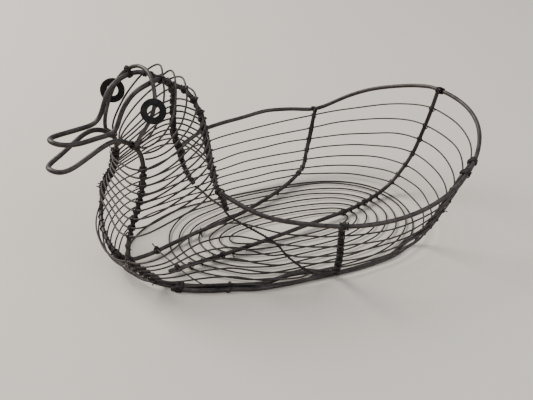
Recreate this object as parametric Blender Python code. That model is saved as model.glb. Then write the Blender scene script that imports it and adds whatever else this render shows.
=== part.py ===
"""A duck-shaped produce basket bent and bound from iron wire.

Frame: +X runs from the beak to the tail, the near side of the basket is -Y,
the far side +Y, +Z is up.  The sizes are laid out from a point on the floor
near the middle of the base oval; build() then slides the whole basket so that
the origin is the middle of the bottom of its bounding box.
All sizes are in millimetres; objects are made in metres.

Curves are drawn for the far side with the head straight ahead.  near() mirrors
them and turned() swings the neck and head toward the near side.
"""

import math

import bmesh
import bpy
import numpy as np
from mathutils import Matrix

MM = 0.001                       # one millimetre in metres

# ---------------------------------------------------------------- wire and air
HEAVY_R = 1.6                    # frame, ribs and rim
ARCH_R = 1.3                     # eye arch
RING_R = 0.55                    # rings and floor tie
BIND_R = 0.4                     # bindings
TIE_R = 0.8                      # shoulder tie: two thin wires twisted together
GAP = 0.3                        # air kept between two wires that touch
RIB_OFF = HEAVY_R + RING_R + GAP + 0.65           # rib axis to ring axis
BREAST_OFF = RIB_OFF + 0.9       # the same for the lower ends of the breast legs

HEAVY_SIDES, THIN_SIDES, BIND_SIDES = 6, 4, 3     # sides of the wire sections
SHARP_ANGLE = math.radians(50)   # edges bent more than this are shaded sharp

# Dark oxidised iron: base colour and roughness
METALLIC = 0.75
HEAVY_IRON = {"colour": (0.045, 0.040, 0.037), "roughness": 0.5}
THIN_IRON = {"colour": (0.055, 0.048, 0.043), "roughness": 0.5}
BINDING_IRON = {"colour": (0.035, 0.031, 0.029), "roughness": 0.55}
EYE_IRON = {"colour": (0.02, 0.018, 0.017), "roughness": 0.45}

# ------------------------------------------------------------------------ body
RIM_FRONT, RIM_TAIL = -70.0, 145.0
RIM_HALF = 91.5                  # half width of the rim oval before the skew
RIM_POWER, RIM_SKEW = 0.415, 0.04                 # roundness, extra width to the tail
RIM_MID_Z = 57.0
RIM_SLOPE, RIM_DISH, RIM_TAIL_UP = 0.8, 21.0, 9.5  # linear, square and cubic rise

BASE_FRONT, BASE_TAIL = -122.0, 109.0
BASE_HALF = 65.0
BREAST_POWER, TAIL_POWER = 2.5, 3.3               # roundness of the base's two ends
BASE_Z = HEAVY_R * math.cos(math.radians(30))     # height of the lower edge of the wall
BASE_RING_INSET = 2.4
BASE_RING_ANGLE = math.radians(45)                # turns a flat of the ring down
BASE_RING_Z = RING_R * math.cos(BASE_RING_ANGLE)

WALL_RINGS = 7
FLOOR_RINGS = 7
FLOOR_RING_STEP = 7.5
FLOOR_RING_BACK = 28.0           # the floor rings stop short of the breast by this much
FLOOR_RING_Z = 1.7
FLOOR_RIB_Z = 4.9
FLOOR_TIE_Z = FLOOR_RIB_Z + HEAVY_R + RING_R + GAP + 0.2
BODY_MIDDLE = np.array([0.0, 0.0, 70.0])          # a point well inside the basket

# Upper edge in front of the rim, far side: x, y, z
SHOULDER_BENDS = [(-84, 47, 57), (-107, 54, 46), (-127, 45, 37), (-138, 24, 31), (-141, 0, 30)]

# --------------------------------------------------------------- neck and head
HEAD_TURN = 25.0                 # degrees the head looks toward the near side
TURN_FROM, TURN_TO = 45.0, 112.0  # heights between which the neck turns
BREAST_TURN = 0.19               # share of the turn the breast already has at the floor
TURN_X = -75.0                   # x of the upright line the neck turns about
TURN_FADE = (-40.0, -66.0)       # behind the first x nothing turns

NECK_RINGS = 9
HEAD_STEP = 0.042                # share of the nape leg between two head rings

# Bends of the two frame wires: x, half spacing of the two legs, z.
# Each wire is a loop at the beak whose legs run back side by side.
UPPER_BENDS = [
    (-171.3, 0, 127.8), (-169.8, 4.2, 127.2), (-165.3, 7.4, 126.2), (-157, 9, 125),
    (-143, 9, 124), (-133, 9.5, 124.5), (-128, 9, 131), (-122, 10, 141),
    (-113, 10.5, 146.5), (-101, 10, 148), (-93, 6.5, 146), (-86, 4.5, 141),
    (-76, 7.5, 134), (-69, 12, 122), (-66.5, 16, 105), (-66, 22, 85), (-62.5, 31, 66),
]
LOWER_BENDS = [
    (-175, 0, 110.4), (-173.3, 4.6, 109.8), (-168.6, 7.8, 109.9), (-160, 9.2, 112.2),
    (-147, 10.5, 117), (-136, 11, 119), (-126, 11, 115), (-118, 12.5, 106),
    (-115.5, 16, 93), (-117, 23, 71), (-124.5, 33, 50),
]
ARCH_BENDS = [
    (-102, 0, 155), (-102.5, 7, 153.7), (-105.5, 16, 147.3), (-110.5, 21.3, 136),
    (-117, 20.3, 125), (-121.2, 17.6, 117.5), (-122, 16.2, 112),
]
# Lower ends of the nape legs: x, y, z
FAR_FOOT = [(-66.3, 38.8, 57.5), (-64, 35.5, 47), (-60, 30.5, 38)]
NEAR_FOOT = [(-56, -32.5, 60.5), (-54, -34.8, 52)]

# Head rings: x, y, z of the front leg, then the ring's half width
HEAD_RING_TABLE = [
    (-122.6, 11.5, 112, 16.6), (-119.3, 12.1, 107.7, 19.2),
    (-117.3, 13, 103.3, 20.6), (-116.3, 14, 98.8, 20.8),
]
HEAD_RINGS = len(HEAD_RING_TABLE)

EYE_OUTER_R, EYE_HOLE_R = 8.0, 3.7
EYE_THICK = 1.6
EYE_SIDES = 20
EYE_SPOT = (-111.0, 21.5, 135.0)                  # beside the far eye, before the turn
EYE_FACING = {"near": (-0.10, -0.85, 0.50), "far": (0.20, 0.90, -0.40)}


# ---------------------------------------------------------------- vector tools
def unit(vectors):
    return vectors / np.linalg.norm(vectors, axis=-1, keepdims=True)


def square_to(vector, axis):
    """The part of a vector that is square to a unit axis."""
    return vector - axis * (vector @ axis)


def smooth_step(value):
    value = np.clip(value, 0.0, 1.0)
    return value * value * (3 - 2 * value)


def turned(points):
    """Turns the neck and head about an upright line, more the higher up."""
    points = np.asarray(points, float)
    part = smooth_step((points[:, 2] - TURN_FROM) / (TURN_TO - TURN_FROM))
    part = BREAST_TURN + (1 - BREAST_TURN) * part
    part = part * smooth_step((TURN_FADE[0] - points[:, 0]) / (TURN_FADE[0] - TURN_FADE[1]))
    angle = math.radians(HEAD_TURN) * part
    cos, sin = np.cos(angle), np.sin(angle)
    x, y = points[:, 0] - TURN_X, points[:, 1]
    return np.stack([TURN_X + x * cos - y * sin, x * sin + y * cos, points[:, 2]], -1)


def near(points):
    """The near-side copy of a far-side curve."""
    return np.asarray(points, float) * np.array([1.0, -1.0, 1.0])


def raised(points, height):
    return np.asarray(points, float) + [0, 0, height]


# ----------------------------------------------------------------- curve tools
def travel(curve, power=1.0):
    """Running sum of the step lengths, each raised to a power."""
    steps = np.linalg.norm(np.diff(curve, axis=0), axis=1) ** power
    return np.concatenate([[0], np.cumsum(steps)])


def interpolate(wanted, stations, points):
    return np.stack([np.interp(wanted, stations, points[:, i]) for i in range(3)], -1)


def at(curve, share):
    """The point at a share of the curve's length, 0 to 1."""
    lengths = travel(curve)
    return interpolate(share * lengths[-1], lengths, curve)


def even(points, count, closed=False):
    """The same curve, sampled at equal steps of length."""
    points = np.asarray(points, float)
    if closed:
        points = np.vstack([points, points[:1]])
        shares = np.linspace(0, 1, count + 1)[:-1]
    else:
        shares = np.linspace(0, 1, count)
    return at(points, shares)


def spline(knots, count):
    """A smooth curve through all the knots (natural cubic)."""
    knots = np.asarray(knots, float)
    number = len(knots)
    times = travel(knots, 0.5)
    steps = np.diff(times)
    system, right = np.zeros((number, number)), np.zeros((number, 3))
    system[0, 0] = system[-1, -1] = 1
    for i in range(1, number - 1):
        before, after = steps[i - 1], steps[i]
        system[i, i - 1:i + 2] = before, 2 * (before + after), after
        right[i] = 6 * ((knots[i + 1] - knots[i]) / after - (knots[i] - knots[i - 1]) / before)
    second = np.linalg.solve(system, right)       # second derivatives at the knots

    query = np.linspace(0, times[-1], 30 * number)
    k = np.clip(np.searchsorted(times, query, "right") - 1, 0, number - 2)
    ahead, behind = (times[k + 1] - query)[:, None], (query - times[k])[:, None]
    step = steps[k][:, None]
    points = (second[k] * ahead ** 3 + second[k + 1] * behind ** 3) / (6 * step)
    points += (knots[k] / step - second[k] * step / 6) * ahead
    points += (knots[k + 1] / step - second[k + 1] * step / 6) * behind
    return even(points, count)


def share_at_x(line, x):
    """Share of the points of a half line at which it passes x."""
    return float(np.interp(-x, -line[:, 0], np.linspace(0, 1, len(line))))


def nearest_share(curve, point):
    i = int(np.argmin(np.linalg.norm(curve - np.asarray(point, float), axis=1)))
    return i / (len(curve) - 1)


def closed_ring(half, count):
    """A turned ring from its far half and the mirror of it."""
    return even(turned(np.vstack([half, near(half)[-2:0:-1]])), count, closed=True)


# ------------------------------------------------------------ body of the duck
def rim_half(front_u, count):
    """Far half of the rim oval, from the tail (u = 1) forward to front_u; the
    neck end of the oval is u = -1."""
    u = np.cos(np.linspace(0, math.acos(front_u), count))
    x = (RIM_FRONT + RIM_TAIL) / 2 + (RIM_TAIL - RIM_FRONT) / 2 * u
    y = RIM_HALF * np.maximum(1 - u * u, 0) ** RIM_POWER * (1 + RIM_SKEW * u)
    z = RIM_MID_Z + RIM_SLOPE * u + RIM_DISH * u ** 2 + RIM_TAIL_UP * u ** 3
    return np.stack([x, y, z], -1)


def base_half(inset=0.0, count=200, back=0.0):
    """Far half of the base oval from the tail to the breast, drawn in by inset
    all round and by back more at the breast."""
    u = np.cos(np.linspace(0, math.pi, 400))
    reach = np.where(u > 0, BASE_TAIL - inset, -BASE_FRONT - inset - back)
    power = np.where(u > 0, TAIL_POWER, BREAST_POWER)
    y = (BASE_HALF - inset) * np.maximum(1 - np.abs(u) ** power, 0) ** 0.5
    return even(np.stack([u * reach, y, np.full_like(u, BASE_Z)], -1), count)


def outline_half(count=200):
    """Far half of the body's upper edge: the rim, then shoulder and breast."""
    rear = rim_half(-0.80, 60)
    # The knots share the end of the rim and go one bend past the middle.
    front = spline(np.vstack([rear[-13::6], SHOULDER_BENDS, near(SHOULDER_BENDS)[-2:-1]]), 400)
    middle = int(np.argmin(np.abs(front[:, 1]) + 1e3 * (front[:, 0] > -130)))
    front = front[:middle + 1]
    front[-1, 1] = 0.0
    return even(np.vstack([rear[:-13], front]), count)


BASE_LINE = base_half()
TOP_LINE = outline_half()
BREAST_SHARE = nearest_share(TOP_LINE, (-133, 38, 34))   # where the breast legs meet the wall


def wall(share, rise):
    """A point of the far wall: share runs tail 0 to breast 1, rise base 0 to rim 1."""
    share, rise = np.asarray(share, float), np.asarray(rise, float)
    base = interpolate(share, np.linspace(0, 1, len(BASE_LINE)), BASE_LINE)
    top = interpolate(share, np.linspace(0, 1, len(TOP_LINE)), TOP_LINE)
    lift_power = 1.45 - 0.45 * smooth_step((share - 0.62) / 0.25)
    flare = np.sign(rise) * np.abs(rise) ** 0.9
    lift = np.sign(rise) * np.abs(rise) ** lift_power
    return base + (top - base) * np.stack([flare, flare, lift], -1)


def inside_wall(share, rise, offset):
    """A point set off from the far wall toward the inside of the basket."""
    spot = wall(share, rise)
    rise = min(rise, 0.97)       # the direction is taken no higher than this
    step = 0.01
    along = wall(share + step, rise) - wall(share - step, rise)
    up = wall(share, rise + step) - wall(share, rise)
    inward = unit(np.cross(along, up))
    if inward @ (BODY_MIDDLE - wall(share, rise)) <= 0:
        inward = -inward
    return spot + inward * offset


def wall_rib(top_x, base_x, top, low=0.02):
    """Far-side rib inside the rings, from rise top down to rise low, aimed at
    one x on the upper edge and another on the base."""
    share_top, share_low = share_at_x(TOP_LINE, top_x), share_at_x(BASE_LINE, base_x)
    points = []
    for rise in np.linspace(top, low, 12):
        share = share_low + (share_top - share_low) * rise
        ease = max(smooth_step((rise - 0.80) / 0.16), smooth_step((0.14 - rise) / 0.12))
        points.append(inside_wall(share, rise, RIB_OFF + 1.2 * ease))
    points = np.array(points)
    points[:, 2] = np.maximum(points[:, 2], FLOOR_RIB_Z)
    return points


def shoulder_rib(top_x, base_x, low):
    return wall_rib(top_x, base_x, top=0.80, low=low)[1::2]


def base_edge(x, inset=0.0):
    """The point at x on the far half of the base oval."""
    edge = base_half(inset)
    return at(edge, share_at_x(edge, x))


def wall_ring(index, count):
    share = np.linspace(0, 1, 160)
    rise = (index + 1) / (WALL_RINGS + 1)
    return closed_ring(wall(share, np.full_like(share, rise)), count)


def floor_ring(index, count):
    half = base_half(FLOOR_RING_STEP * (index + 1), 120, FLOOR_RING_BACK)
    return closed_ring(raised(half, FLOOR_RING_Z - BASE_Z), count)


def base_ring(count):
    """The thin lowest ring, flat on the floor just inside the base line."""
    return closed_ring(raised(base_half(BASE_RING_INSET), BASE_RING_Z - BASE_Z), count)


# --------------------------------------------------------- neck and head rings
def breast_run():
    """Lower end of a breast leg, inside the wall rings."""
    return np.array([inside_wall(BREAST_SHARE, rise, BREAST_OFF) for rise in (0.78, 0.52, 0.27)])


# One leg of each frame wire, unturned and alike on both sides; they carry the rings.
UPPER_LEG = spline(np.vstack([UPPER_BENDS, shoulder_rib(-60, -30, 0.3)]), 500)
LOWER_LEG = spline(np.vstack([LOWER_BENDS, breast_run()]), 500)

# Shares of the legs between which the rings stand
CROWN = nearest_share(UPPER_LEG, (-93, 6.5, 146))
NAPE_END = nearest_share(UPPER_LEG, (-64, 27, 74))
THROAT = nearest_share(LOWER_LEG, (-115.6, 15.6, 94.5))
BREAST_END = nearest_share(LOWER_LEG, (-125, 35, 52))


def half_oval(reach, leg_y, half_width, clearance, bulge):
    """Semi-axis and roundness of the half that passes one pair of legs, and its
    y beside them."""
    outward = unit(np.array([2 / reach, leg_y / half_width ** 2]))
    along = reach / 2 + clearance * outward[0]
    across = leg_y + clearance * outward[1]
    low, high = 1.6, 9.0
    for _ in range(40):
        power = (low + high) / 2
        inside = (along / (along + bulge)) ** power + (across / half_width) ** power
        low, high = (low, power) if inside < 1 else (power, high)
    return along + bulge, power, across


def neck_oval(back, front, half_width, back_bulge, front_bulge, front_clearance, near_wide,
              open_front, count):
    """A tilted oval round the neck that passes outside a pair of nape legs and
    a pair of front legs.  An open one stops beside the front legs.  near_wide
    makes the near side bulge more than the far side."""
    axis = np.array([back[0] - front[0], 0, back[2] - front[2]])
    reach = np.linalg.norm(axis)
    axis /= reach
    middle = (back + front) / 2 * np.array([1, 0, 1])
    back_axis, back_power, _ = half_oval(reach, back[1], half_width, RIB_OFF, back_bulge)
    front_axis, front_power, front_y = half_oval(
        reach, front[1], half_width, front_clearance, front_bulge)

    angle = np.linspace(-math.pi, math.pi, 721)[:-1]
    cos, sin = np.cos(angle), np.sin(angle)
    power = np.where(cos > 0, back_power, front_power)
    semi_axis = np.where(cos > 0, back_axis, front_axis)
    along = semi_axis * np.sign(cos) * np.abs(cos) ** (2 / power)
    y = half_width * np.sign(sin) * np.abs(sin) ** (2 / power)
    if open_front:
        keep = (along > 0) | (np.abs(y) > front_y)
        along, y, sin = along[keep], y[keep], sin[keep]
    y = y * (1 + (near_wide - 1) * (y < 0) * sin ** 2)
    points = middle + along[:, None] * axis + y[:, None] * np.array([0, 1, 0])
    return even(turned(points), count, closed=not open_front)


def nape_station(index):
    """Where the nape legs carry a ring, counted from the first head ring; the
    neck rings follow the head rings at their own even pitch."""
    if index < HEAD_RINGS:
        return at(UPPER_LEG, CROWN + HEAD_STEP * index)
    start = CROWN + HEAD_STEP * HEAD_RINGS
    return at(UPPER_LEG, start + (NAPE_END - start) * (index - HEAD_RINGS) / (NECK_RINGS - 1))


def head_ring(index, count):
    *front, half_width = HEAD_RING_TABLE[index]
    return neck_oval(
        back=nape_station(index), front=np.array(front) + [RIB_OFF + 0.5, 0, 0],
        half_width=half_width, back_bulge=6.4 - 0.6 * index, front_bulge=2.0,
        front_clearance=0.0, near_wide=1.3 - 0.03 * index, open_front=True, count=count)


def neck_ring(index, count):
    back = nape_station(HEAD_RINGS + index)
    front = at(LOWER_LEG, THROAT + (BREAST_END - THROAT) * index / (NECK_RINGS - 1))
    return neck_oval(
        back=back, front=front,
        half_width=max(back[1], front[1]) + RIB_OFF + 4.0 + 0.5 * index,
        back_bulge=3.6, front_bulge=3.8,
        front_clearance=RIB_OFF * (1.18 if index in (1, 2, 3) else 1.36),
        near_wide=1.18 - 0.04 * min(index, 4), open_front=False, count=count)


# ------------------------------------------------------------ long frame wires
# Far rim, shifted in height round three places: x, rise, reach
RIM_WAVE = [(19, 2.0, 16), (66, -5.4, 18), (108, 1.8, 18)]

# Far breast leg, round the inside of the wall to the middle of the front:
# share, rise, side (1 far, -1 near)
FAR_SWEEP = [(0.90, 0.88, 1), (0.945, 0.76, 1), (0.985, 0.60, 1), (0.99, 0.42, -1)]
# Near breast leg, slanting back as it comes down: share behind BREAST_SHARE, rise
NEAR_RUN = [(0.0, 0.78), (0.009, 0.54), (0.016, 0.34), (0.022, 0.20)]

# Runs over the floor: x, y, height above FLOOR_RIB_Z
LOWER_FAR_FLOOR = [
    (-120, -1, 2.0), (-111, 1, 0), (-101, 2.5, 0), (-70, 12, 0),
    (-46, 20, 0), (-20, 30.5, 0), (9, 46, 0), (28, 57.5, 1.2),
]
REAR_FAR_FLOOR = [
    (106, 22, 6.5), (99.5, 20.8, 2.4), (90, 17, 0.3), (79, 12, 0), (62, 5.4, 0),
    (30, -2, 0), (-5, -10, 0), (-45, -18, 0), (-95, -25.5, 0),
]
# Runs along the near base edge: x, distance in from the edge, height above it
LOWER_NEAR_EDGE = [
    (-105, 2.6, 1.9), (-98, 4.6, 0.9), (-88, 4.8, 0.5), (-66, 4.8, 0.5),
    (-48, 4.8, 0.5), (-32, 4.9, 0.9), (-12, 6.0, 3.0),
]
REAR_NEAR_EDGE = [
    (82, 1.5, 2.9), (68, 0.2, 1.1), (50, 0, 0.3), (25, 0, 0.25), (0, 0, 0.25), (-25, 0, 0.25),
    (-50, 0, 0.25), (-72, 0, 0.25), (-86, 0, 0.25), (-94, 0, 0.25), (-101, 0, 0.25),
]
# Near rear rib under the rim: x, distance in from the wall
REAR_NEAR_UNDER = [(121, 2.6), (116, 2.8), (111.5, 3.6)]
# Floor tie: x, y
FLOOR_TIE_LINE = [(-99, 9), (-96, -4), (-90, -22), (-84, -38), (-78, -50)]


def rim_end(leg):
    """Where one end of the rim lies against the outside of a nape leg."""
    return turned([leg])[0] + np.array([-1.0, 3.9 * np.sign(leg[1]), 1.0])


def rim_wire(count):
    half = rim_half(-0.84, 50)
    far_leg, near_leg = np.array(UPPER_BENDS[-1], float), near(UPPER_BENDS[-1])
    far = half[45:4:-2].copy()
    for x, rise, reach in RIM_WAVE:
        far[:, 2] += rise * np.exp(-((far[:, 0] - x) / reach) ** 2)
    knots = np.vstack([[rim_end(far_leg)], far, near(half)[::5], [rim_end(near_leg)]])
    return even(spline(knots, 900), count)


def upper_frame(count):
    far_leg = np.vstack([turned(UPPER_BENDS), FAR_FOOT])
    near_leg = np.vstack([turned(near(UPPER_BENDS)), NEAR_FOOT])
    return even(spline(np.vstack([far_leg[::-1], near_leg[1:]]), 1500), count)


def lower_frame(count):
    sweep = [inside_wall(share, rise, BREAST_OFF) * [1, side, 1]
             for share, rise, side in FAR_SWEEP]
    far_wall = wall_rib(65, 39, top=0.94)[::-1]
    far_leg = np.vstack([LOWER_BENDS, sweep, raised(LOWER_FAR_FLOOR, FLOOR_RIB_Z), far_wall[3::2]])

    run = [inside_wall(BREAST_SHARE - back, rise, BREAST_OFF) for back, rise in NEAR_RUN]
    edge = [raised(base_edge(x, inset), up) for x, inset, up in LOWER_NEAR_EDGE]
    near_wall = wall_rib(9, 15, top=1.0)[::-1]
    near_leg = np.vstack([LOWER_BENDS, run, edge, near_wall[1::2]])
    return even(spline(np.vstack([turned(far_leg)[::-1], turned(near(near_leg))[1:]]), 2000), count)


def rear_rib_far(count):
    """Down the far wall near the tail, then forward over the floor."""
    down = wall_rib(143.5, 104, top=1.0)[0:8:2]
    return even(spline(np.vstack([down, raised(REAR_FAR_FLOOR, FLOOR_RIB_Z)]), 900), count)


def rear_rib_near(count):
    """Forward under the rim, down the near wall, then forward along the lower
    edge of the basket to the breast."""
    under = [raised(inside_wall(share_at_x(TOP_LINE, x), 1.0, inward), -(2 * HEAVY_R + GAP))
             for x, inward in REAR_NEAR_UNDER]
    down = wall_rib(105, 87, top=1.0, low=0.16)[2:]
    foot = [base_edge(x) + [0, -inward, up] for x, inward, up in REAR_NEAR_EDGE]
    return even(turned(near(spline(np.vstack([under, down, foot]), 900))), count)


def shoulder_tie(count):
    """Thin twisted wire from the far foot of the frame across to the near foot
    and on down the near wall."""
    under = HEAVY_R + TIE_R + GAP + 0.3
    far, close = np.array(FAR_FOOT[-1]), np.array(NEAR_FOOT[-1])
    bridge = [
        far + [1, 0.5, -under], far + [2.5, -8, -1], (far + close) / 2 + [1, 0, -2.5],
        close + [0.5, 6, -under], close + [1.5, -2.5, -under - 0.5],
    ]
    down = turned(near(shoulder_rib(-46, 8, 0.16)))
    return spline(np.vstack([bridge, down[down[:, 2] < 44]]), count)


def floor_tie(count):
    return spline([(x, y, FLOOR_TIE_Z) for x, y in FLOOR_TIE_LINE], count)


def arch_wire(count):
    return even(turned(spline(np.vstack([ARCH_BENDS[::-1], near(ARCH_BENDS)[1:]]), 900)), count)


def eye_seat(side):
    """Centre and outward axis of one eye washer, lying flat on the arch."""
    arch = arch_wire(400)
    spot = turned([near(EYE_SPOT) if side == "near" else EYE_SPOT])[0]
    i = int(np.argmin(np.linalg.norm(arch - spot, axis=1)))
    along = unit(arch[i + 6] - arch[i - 6])
    outward = unit(square_to(np.array(EYE_FACING[side]), along))
    return arch[i] + outward * (ARCH_R + 2 * GAP + EYE_THICK / 2), outward


# -------------------------------------------------------------------- bindings
TURN_STEPS = 8                   # points in one turn of a binding
BIND_LOW = HEAVY_R + BIND_R + GAP + 0.25          # leg axis to binding, between rings
BIND_OVER = RING_R + BIND_R + GAP + 0.55          # ring axis to binding, over a ring
CROSS_EASE = 0.09                # makes the binding's pitch uneven within each turn
END_MARGIN = 0.2                 # a binding stays this far inside its leg's ends


def binding(leg, rings):
    """Binding wire wound along a leg, one turn for each ring it ties down.

    Where a ring passes the leg the turn lies outside the ring and crosses it
    against the ring's own slant; between two rings it lies close on the leg."""
    lengths = travel(leg)
    along = unit(np.gradient(leg, axis=0))
    marks, slants = [], []
    for ring in rings:
        gaps = np.linalg.norm(ring[:, None] - leg[None], axis=2)
        k, i = np.unravel_index(int(gaps.argmin()), gaps.shape)
        outward = unit(ring[k] - leg[i])
        ring_run = ring[(k + 2) % len(ring)] - ring[k - 2]
        side = np.cross(along[i], outward)
        slants.append((ring_run @ along[i]) * np.sign(ring_run @ side))
        marks.append((lengths[i], outward, float(gaps.min())))
    hand = -1.0 if sum(slants) > 0 else 1.0
    marks.sort(key=lambda mark: mark[0])
    places, outwards, distances = [np.array(column) for column in zip(*marks)]

    points = []
    last = len(marks) - 1
    for turn in np.arange(-0.5, last + 0.5 + 1e-9, 1.0 / TURN_STEPS):
        angle = 2 * math.pi * turn
        eased = turn + CROSS_EASE * math.sin(angle)
        place = np.interp(eased, np.arange(last + 1), places)
        if eased < 0:
            place = places[0] + eased * (places[1] - places[0])
        if eased > last:
            place = places[-1] + (eased - last) * (places[-1] - places[-2])
        place = min(max(place, END_MARGIN), lengths[-1] - END_MARGIN)
        axis = interpolate(place, lengths, leg)
        tangent = unit(interpolate(place, lengths, along))
        outward = unit(square_to(interpolate(place, places, outwards), tangent))
        high = float(np.interp(place, places, distances)) + BIND_OVER
        radius = BIND_LOW + (high - BIND_LOW) * max(0.0, math.cos(angle)) ** 0.8
        sideways = hand * math.sin(angle) * np.cross(tangent, outward)
        points.append(axis + radius * (math.cos(angle) * outward + sideways))
    return np.array(points)


def bindings():
    """(name, axis) of the binding wires, along the legs where the rings pass."""
    upper, lower = upper_frame(1200), lower_frame(1800)
    upper_tip, lower_tip = int(np.argmin(upper[:, 0])), int(np.argmin(lower[:, 0]))
    last_head = head_ring(HEAD_RINGS - 1, 500)
    necks = [neck_ring(i, 720) for i in range(NECK_RINGS)]
    walls = [wall_ring(i, 1000) for i in range(WALL_RINGS)]
    sides = (
        ("far", upper[:upper_tip], lower[:lower_tip], rear_rib_far(600), 3),
        ("near", upper[upper_tip:], lower[lower_tip:], rear_rib_near(400), 2),
    )
    out = []
    for side, up, low, rear, rear_first in sides:
        nape = up[(up[:, 2] > 64) & (up[:, 0] > -100)]
        breast = low[(low[:, 2] > 40) & (low[:, 2] < 114) & (low[:, 0] < -98) & (low[:, 0] > -142)]
        middle = low[low[:, 0] > -6]
        rear = rear[(rear[:, 0] > 70) & (rear[:, 2] > 14)]
        out += [
            (f"nape_binding_{side}", binding(nape, [last_head] + necks)),
            (f"breast_binding_{side}", binding(breast, necks[1:])),
            (f"middle_binding_{side}", binding(middle, walls[2:])),
            (f"rear_binding_{side}", binding(rear, walls[rear_first:])),
        ]
    return out


# --------------------------------------------------------------------- solids
def iron(name, colour, roughness):
    """A Principled material for dark oxidised iron."""
    material = bpy.data.materials.new(name)
    material.use_nodes = True
    shader = material.node_tree.nodes["Principled BSDF"]
    shader.inputs["Base Color"].default_value = (*colour, 1)
    shader.inputs["Metallic"].default_value = METALLIC
    shader.inputs["Roughness"].default_value = roughness
    return material


def solid(name, loops, closed, material):
    """An object skinned over equal loops of points in millimetres; the row of
    loops is closed on itself or capped at both ends."""
    shape = bmesh.new()
    loops = [[shape.verts.new(tuple(point * MM)) for point in loop] for loop in loops]
    sides = len(loops[0])
    for i in range(len(loops) if closed else len(loops) - 1):
        one, two = loops[i], loops[(i + 1) % len(loops)]
        for k in range(sides):
            after = (k + 1) % sides
            shape.faces.new((one[k], one[after], two[after], two[k]))
    if not closed:
        shape.faces.new(list(reversed(loops[0])))
        shape.faces.new(loops[-1])
    bmesh.ops.recalc_face_normals(shape, faces=shape.faces)
    mesh = bpy.data.meshes.new(name)
    shape.to_mesh(mesh)
    shape.free()
    mesh.materials.append(material)
    mesh.shade_smooth()
    mesh.set_sharp_from_angle(angle=SHARP_ANGLE)
    bpy.context.scene.collection.objects.link(bpy.data.objects.new(name, mesh))


def circle(centre, radius, right, up, sides, start_angle=0.0):
    angles = [start_angle + 2 * math.pi * k / sides for k in range(sides)]
    return [centre + radius * (math.cos(a) * right + math.sin(a) * up) for a in angles]


def frames_along(points, closed):
    """Two directions square to a wire axis at each point, without twist."""
    count = len(points)
    if closed:
        tangent = unit(np.roll(points, -1, 0) - np.roll(points, 1, 0))
    else:
        tangent = unit(np.gradient(points, axis=0))
    first = square_to(np.array([0, 0, 1.0]), tangent[0])
    if np.linalg.norm(first) < 0.2:
        first = square_to(np.array([1.0, 0, 0]), tangent[0])
    normals = [unit(first)]
    for i in range(1, count):
        normals.append(unit(square_to(normals[-1], tangent[i])))
    normals = np.array(normals)
    if closed:
        # Spread the mismatch at the seam evenly round the ring.
        end = unit(square_to(normals[-1], tangent[0]))
        slip = math.atan2(float(np.cross(end, normals[0]) @ tangent[0]), float(end @ normals[0]))
        for i in range(count):
            angle = slip * i / count
            across = np.cross(tangent[i], normals[i])
            normals[i] = math.cos(angle) * normals[i] + math.sin(angle) * across
    return normals, np.cross(tangent, normals)


def wire(name, points, radius, sides, finish, closed=False, start_angle=0.0):
    """A round wire along the points, with a material of its own."""
    normals, across = frames_along(points, closed)
    loops = [circle(point, radius, normals[i], across[i], sides, start_angle)
             for i, point in enumerate(points)]
    solid(name, loops, closed, iron(name + "_iron", **finish))


def eye_washer(side):
    """A flat washer standing square to its outward axis."""
    centre, normal = eye_seat(side)
    right = unit(np.cross(normal, [0, 0, 1.0]))
    up = np.cross(normal, right)
    corners = ((EYE_OUTER_R, -0.5), (EYE_OUTER_R, 0.5), (EYE_HOLE_R, 0.5), (EYE_HOLE_R, -0.5))
    loops = [circle(centre + normal * level * EYE_THICK, radius, right, up, EYE_SIDES)
             for radius, level in corners]
    solid(f"eye_washer_{side}", loops, True, iron(f"eye_{side}_iron", **EYE_IRON))


def heavy_wires():
    for name, axis, radius in (
        ("rim_wire", rim_wire(56), HEAVY_R),
        ("upper_frame_wire", upper_frame(104), HEAVY_R),
        ("lower_frame_wire", lower_frame(126), HEAVY_R),
        ("rear_rib_far", rear_rib_far(38), HEAVY_R),
        ("rear_rib_near", rear_rib_near(54), HEAVY_R),
        ("eye_arch", arch_wire(24), ARCH_R),
    ):
        wire(name, axis, radius, HEAVY_SIDES, HEAVY_IRON)


def thin_wires():
    wire("shoulder_tie", shoulder_tie(30), TIE_R, HEAVY_SIDES, THIN_IRON)
    wire("floor_tie", floor_tie(8), RING_R, THIN_SIDES, THIN_IRON)
    wire("base_ring", base_ring(48), RING_R, THIN_SIDES, THIN_IRON,
         closed=True, start_angle=BASE_RING_ANGLE)
    # name, number of rings, axis function, points in a ring, closed
    for name, number, ring_axis, count, closed in (
        ("wall_ring", WALL_RINGS, wall_ring, 40, True),
        ("floor_ring", FLOOR_RINGS, floor_ring, 30, True),
        ("neck_ring", NECK_RINGS, neck_ring, 26, True),
        ("head_ring", HEAD_RINGS, head_ring, 20, False),
    ):
        for i in range(number):
            wire(f"{name}_{i + 1}", ring_axis(i, count), RING_R, THIN_SIDES, THIN_IRON, closed)


def centre_on_floor():
    """Slides every mesh so the origin is the middle of the bounding box's bottom."""
    meshes = [obj.data for obj in bpy.data.objects]
    corners = np.array([vertex.co for mesh in meshes for vertex in mesh.vertices])
    low, high = corners.min(axis=0), corners.max(axis=0)
    slide = Matrix.Translation((-(low[0] + high[0]) / 2, -(low[1] + high[1]) / 2, -low[2]))
    for mesh in meshes:
        mesh.transform(slide)


def build():
    for obj in list(bpy.data.objects):
        bpy.data.objects.remove(obj, do_unlink=True)
    heavy_wires()
    thin_wires()
    for name, axis in bindings():
        wire(name, axis, BIND_R, BIND_SIDES, BINDING_IRON)
    for side in EYE_FACING:
        eye_washer(side)
    centre_on_floor()


if __name__ == "__main__":
    build()
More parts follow.
